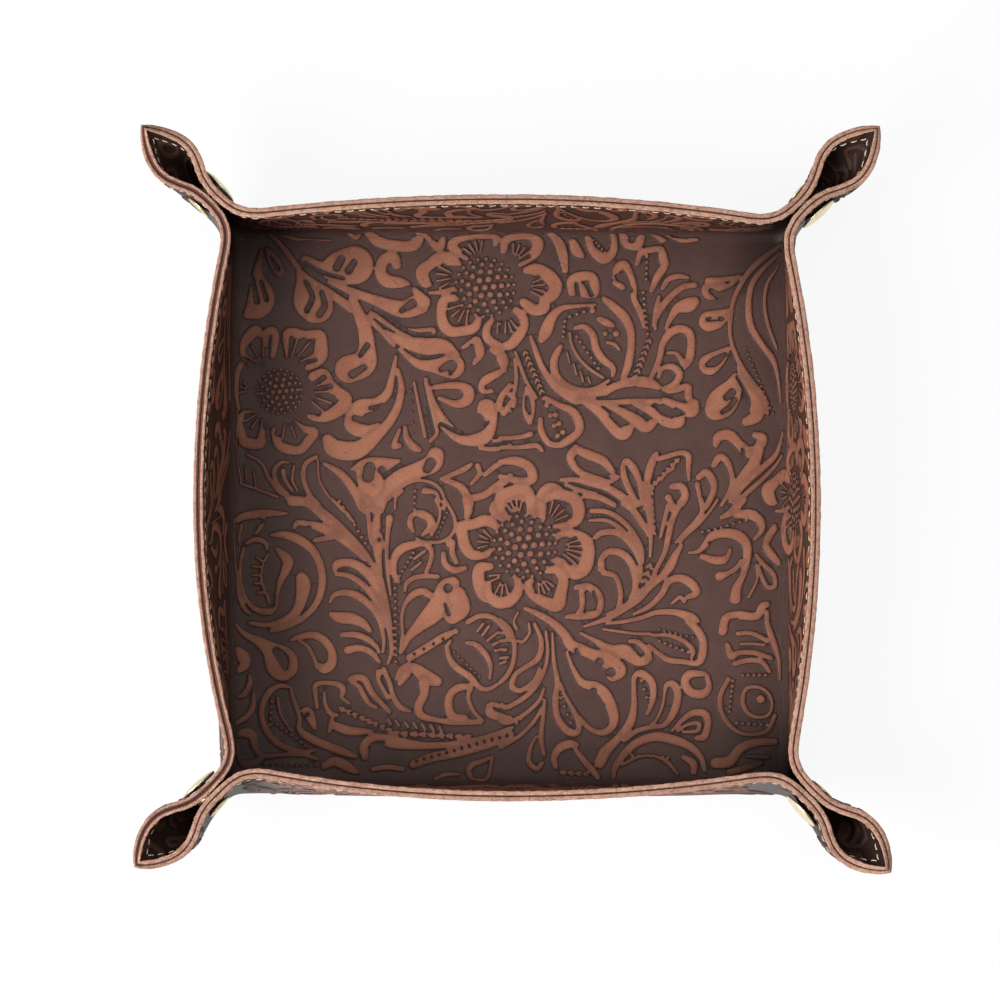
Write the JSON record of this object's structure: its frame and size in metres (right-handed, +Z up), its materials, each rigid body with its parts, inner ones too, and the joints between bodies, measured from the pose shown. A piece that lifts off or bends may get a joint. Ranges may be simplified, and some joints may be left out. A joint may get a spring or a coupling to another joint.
{
  "type": "leather tray",
  "caption": "Square leather tray with floral-tooled double leather, stitched rims and snapped, looped corner ears that hold its bowed walls up.",
  "frame": {"origin": "centre of the flat underside, on the surface the tray stands on", "axes": "+Z up out of the tray's opening, +X to the right wall and +Y to the back wall as the picture shows them"},
  "size_m": [0.2634, 0.2638, 0.0576],
  "materials": {
    "lining_leather": "tooled, tan on dark brown, soft sheen",
    "outer_leather": "tooled, tan and grey-brown, raw suede edge",
    "thread": "waxed cream thread",
    "cap_brass": "satin, pale",
    "socket_brass": "satin",
    "stud_brass": "satin",
    "post_brass": "satin"
  },
  "bodies": {
    "floor": {"lining_floor": "lining_leather", "outer_floor": "outer_leather"},
    "wall_front": {"lining_wall_front": "lining_leather", "outer_wall_front": "outer_leather", "thread_wall_front": "thread"},
    "wall_right": {"lining_wall_right": "lining_leather", "outer_wall_right": "outer_leather", "thread_wall_right": "thread"},
    "wall_back": {"lining_wall_back": "lining_leather", "outer_wall_back": "outer_leather", "thread_wall_back": "thread"},
    "wall_left": {"lining_wall_left": "lining_leather", "outer_wall_left": "outer_leather", "thread_wall_left": "thread"},
    "ear_front_right_front": {"lining_ear_front_right_front": "lining_leather", "outer_ear_front_right_front": "outer_leather", "thread_ear_front_right_front": "thread", "snap_cap_front_right": "cap_brass", "snap_socket_front_right": "socket_brass"},
    "ear_front_left_front": {"lining_ear_front_left_front": "lining_leather", "outer_ear_front_left_front": "outer_leather", "thread_ear_front_left_front": "thread", "snap_post_front_left": "post_brass", "snap_stud_front_left": "stud_brass"},
    "ear_back_right_right": {"lining_ear_back_right_right": "lining_leather", "outer_ear_back_right_right": "outer_leather", "thread_ear_back_right_right": "thread", "snap_cap_back_right": "cap_brass", "snap_socket_back_right": "socket_brass"},
    "ear_front_right_right": {"lining_ear_front_right_right": "lining_leather", "outer_ear_front_right_right": "outer_leather", "thread_ear_front_right_right": "thread", "snap_post_front_right": "post_brass", "snap_stud_front_right": "stud_brass"},
    "ear_back_left_back": {"lining_ear_back_left_back": "lining_leather", "outer_ear_back_left_back": "outer_leather", "thread_ear_back_left_back": "thread", "snap_cap_back_left": "cap_brass", "snap_socket_back_left": "socket_brass"},
    "ear_back_right_back": {"lining_ear_back_right_back": "lining_leather", "outer_ear_back_right_back": "outer_leather", "thread_ear_back_right_back": "thread", "snap_post_back_right": "post_brass", "snap_stud_back_right": "stud_brass"},
    "ear_front_left_left": {"lining_ear_front_left_left": "lining_leather", "outer_ear_front_left_left": "outer_leather", "thread_ear_front_left_left": "thread", "snap_cap_front_left": "cap_brass", "snap_socket_front_left": "socket_brass"},
    "ear_back_left_left": {"lining_ear_back_left_left": "lining_leather", "outer_ear_back_left_left": "outer_leather", "thread_ear_back_left_left": "thread", "snap_post_back_left": "post_brass", "snap_stud_back_left": "stud_brass"}
  },
  "joints": [
    {"name": "fold_front", "type": "hinge", "parent": "floor", "child": "wall_front", "pos_m": [-0.00095, -0.10207, 0.00202], "axis": [1, 0, 0], "range_deg": [0, 72]},
    {"name": "fold_right", "type": "hinge", "parent": "floor", "child": "wall_right", "pos_m": [0.10193, 0.00077, 0.00198], "axis": [0, 1, 0], "range_deg": [0, 72]},
    {"name": "fold_back", "type": "hinge", "parent": "floor", "child": "wall_back", "pos_m": [-0.00095, 0.10361, 0.00202], "axis": [-1, 0, 0], "range_deg": [0, 72]},
    {"name": "fold_left", "type": "hinge", "parent": "floor", "child": "wall_left", "pos_m": [-0.10386, 0.00078, 0.00195], "axis": [0, -1, 0], "range_deg": [0, 72]},
    {"name": "open_front_right_front", "type": "hinge", "parent": "wall_front", "child": "ear_front_right_front", "pos_m": [0.1001, -0.10162, 0.01586], "axis": [0.02, 0.011, 0.9997], "range_deg": [0, 36]},
    {"name": "open_front_left_front", "type": "hinge", "parent": "wall_front", "child": "ear_front_left_front", "pos_m": [-0.10161, -0.10123, 0.0159], "axis": [-0.0066, -0.0378, -0.9993], "range_deg": [0, 36]},
    {"name": "open_back_right_right", "type": "hinge", "parent": "wall_right", "child": "ear_back_right_right", "pos_m": [0.10135, 0.10173, 0.01588], "axis": [-0.0152, 0.0156, 0.9998], "range_deg": [0, 36]},
    {"name": "open_front_right_right", "type": "hinge", "parent": "wall_right", "child": "ear_front_right_right", "pos_m": [0.10145, -0.10027, 0.01587], "axis": [0.0111, 0.0199, -0.9997], "range_deg": [0, 36]},
    {"name": "open_back_left_back", "type": "hinge", "parent": "wall_back", "child": "ear_back_left_back", "pos_m": [-0.10246, 0.10361, 0.01582], "axis": [-0.0583, 0.0282, 0.9979], "range_deg": [0, 36]},
    {"name": "open_back_right_back", "type": "hinge", "parent": "wall_back", "child": "ear_back_right_back", "pos_m": [0.10002, 0.10307, 0.01588], "axis": [-0.0157, 0.0151, -0.9998], "range_deg": [0, 36]},
    {"name": "open_front_left_left", "type": "hinge", "parent": "wall_left", "child": "ear_front_left_left", "pos_m": [-0.10295, -0.09988, 0.0159], "axis": [0.0379, 0.0069, 0.9993], "range_deg": [0, 36]},
    {"name": "open_back_left_left", "type": "hinge", "parent": "wall_left", "child": "ear_back_left_left", "pos_m": [-0.10378, 0.10228, 0.01582], "axis": [0.0282, -0.058, -0.9979], "range_deg": [0, 36]}
  ],
  "couplings": [
    {"joint": "fold_right", "follows": "fold_front", "ratio": 1},
    {"joint": "fold_back", "follows": "fold_front", "ratio": 1},
    {"joint": "fold_left", "follows": "fold_front", "ratio": 1},
    {"joint": "open_front_right_front", "follows": "fold_front", "ratio": 0.5},
    {"joint": "open_front_left_front", "follows": "fold_front", "ratio": 0.5},
    {"joint": "open_back_right_right", "follows": "fold_front", "ratio": 0.5},
    {"joint": "open_front_right_right", "follows": "fold_front", "ratio": 0.5},
    {"joint": "open_back_left_back", "follows": "fold_front", "ratio": 0.5},
    {"joint": "open_back_right_back", "follows": "fold_front", "ratio": 0.5},
    {"joint": "open_front_left_left", "follows": "fold_front", "ratio": 0.5},
    {"joint": "open_back_left_left", "follows": "fold_front", "ratio": 0.5}
  ]
}
